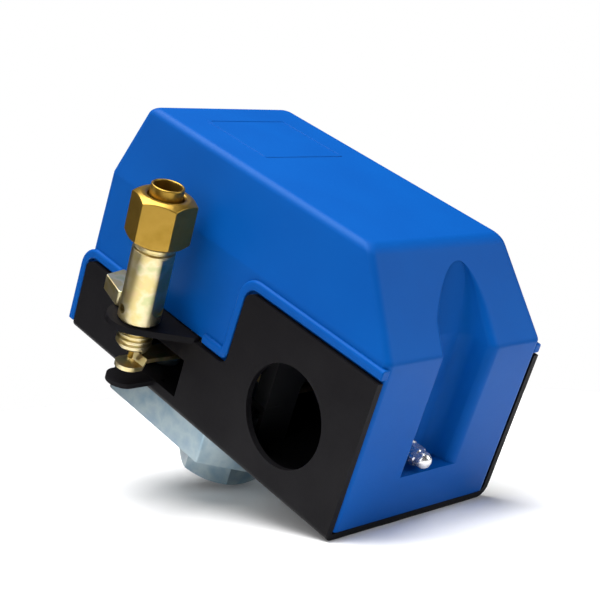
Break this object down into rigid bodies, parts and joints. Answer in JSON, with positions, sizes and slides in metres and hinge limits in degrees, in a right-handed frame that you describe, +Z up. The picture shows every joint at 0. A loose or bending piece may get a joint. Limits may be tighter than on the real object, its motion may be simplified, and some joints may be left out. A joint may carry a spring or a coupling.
{
  "type": "pressure switch",
  "caption": "Air compressor pressure switch: stepped steel chassis, sloping plastic cover, hexagon pipe port, conduit entry and side unloader valve.",
  "frame": {"origin": "centre of the pipe port's end face, on the port's axis", "axes": "+Z up along the port's axis through the case, +X along the case towards the end held by the cover screw, -Y towards the panel with the conduit hole and the unloader valve"},
  "size_m": [0.0963, 0.0672, 0.0809],
  "materials": {
    "black_paint": "semi-gloss powder coat with a fine orange peel",
    "blue_plastic": "satin moulded",
    "zinc": "bluish bright zinc plate",
    "yellow_zinc": "yellow passivated zinc plate",
    "brass": "machined",
    "nickel": "polished nickel plate",
    "spring_steel": "oiled wire",
    "black_plastic": "matt phenolic moulding",
    "rubber": "matt",
    "contact_copper": "rolled copper alloy with silver contacts"
  },
  "bodies": {
    "case": {"chassis": "black_paint", "port_flange": "zinc", "diaphragm": "rubber", "flange_screw_1": "zinc", "flange_screw_2": "zinc", "flange_screw_3": "zinc", "flange_screw_4": "zinc", "lever_pin": "zinc", "range_stud": "zinc", "differential_stud": "zinc", "contact_block": "black_plastic", "block_screw_1": "zinc", "block_screw_2": "zinc", "terminal_plate_1": "brass", "terminal_plate_2": "brass", "terminal_plate_3": "brass", "terminal_plate_4": "brass", "terminal_screw_1": "zinc", "terminal_screw_2": "zinc", "terminal_screw_3": "zinc", "terminal_screw_4": "zinc", "ground_screw": "zinc", "valve_body": "yellow_zinc", "spring_retainer": "brass", "ferrule": "brass", "valve_lock_plate": "yellow_zinc"},
    "cover": {"cover": "blue_plastic", "cover_clip_nut": "zinc"},
    "cover_screw": {"cover_screw": "nickel"},
    "piston": {"piston": "zinc"},
    "lever": {"main_lever": "yellow_zinc", "unloader_arm": "yellow_zinc", "arm_rivet": "zinc"},
    "contact_carrier": {"contact_plunger": "black_plastic", "contact_crossbar": "black_plastic", "contact_spring": "spring_steel", "contact_bridge_1": "contact_copper", "contact_bridge_2": "contact_copper"},
    "valve_stem": {"valve_stem": "brass", "valve_spring": "spring_steel"},
    "range_nut": {"range_nut": "zinc", "range_spring": "spring_steel"},
    "differential_nut": {"differential_nut": "zinc", "differential_spring": "spring_steel"},
    "compression_nut": {"compression_nut": "brass"}
  },
  "joints": [
    {"name": "cover_lift", "type": "slide", "parent": "case", "child": "cover", "axis": [0, 0, 1], "range_m": [0, 0.06]},
    {"name": "cover_screw_spin", "type": "hinge", "parent": "cover", "child": "cover_screw", "pos_m": [0.0524, -0.0016, 0.03705], "axis": [1, 0, 0], "continuous": true},
    {"name": "piston_travel", "type": "slide", "parent": "case", "child": "piston", "axis": [0, 0, 1], "range_m": [0, 0.0012]},
    {"name": "lever_swing", "type": "hinge", "parent": "case", "child": "lever", "pos_m": [-0.0267, 0, 0.0348], "axis": [0, -1, 0], "range_deg": [0, 2.6]},
    {"name": "contact_travel", "type": "slide", "parent": "case", "child": "contact_carrier", "axis": [0, 0, 1], "range_m": [0, 0.002], "deforming": ["contact_spring"]},
    {"name": "valve_stem_travel", "type": "slide", "parent": "case", "child": "valve_stem", "axis": [0, -0.0384, 0.9993], "range_m": [0, 0.0011], "deforming": ["valve_spring"]},
    {"name": "range_adjust", "type": "slide", "parent": "case", "child": "range_nut", "axis": [0, 0, 1], "range_m": [-0.006, 0.004], "deforming": ["range_spring"]},
    {"name": "differential_adjust", "type": "slide", "parent": "case", "child": "differential_nut", "axis": [0, 0, 1], "range_m": [-0.005, 0.004], "deforming": ["differential_spring"]},
    {"name": "compression_nut_spin", "type": "hinge", "parent": "case", "child": "compression_nut", "pos_m": [-0.0044, -0.0333, 0.0414], "axis": [0, -0.0384, 0.9993], "continuous": true}
  ],
  "couplings": [
    {"joint": "lever_swing", "follows": "piston_travel", "rad_per_m": 37.45},
    {"joint": "contact_travel", "follows": "piston_travel", "ratio": 1.629},
    {"joint": "valve_stem_travel", "follows": "piston_travel", "ratio": 0.85}
  ]
}
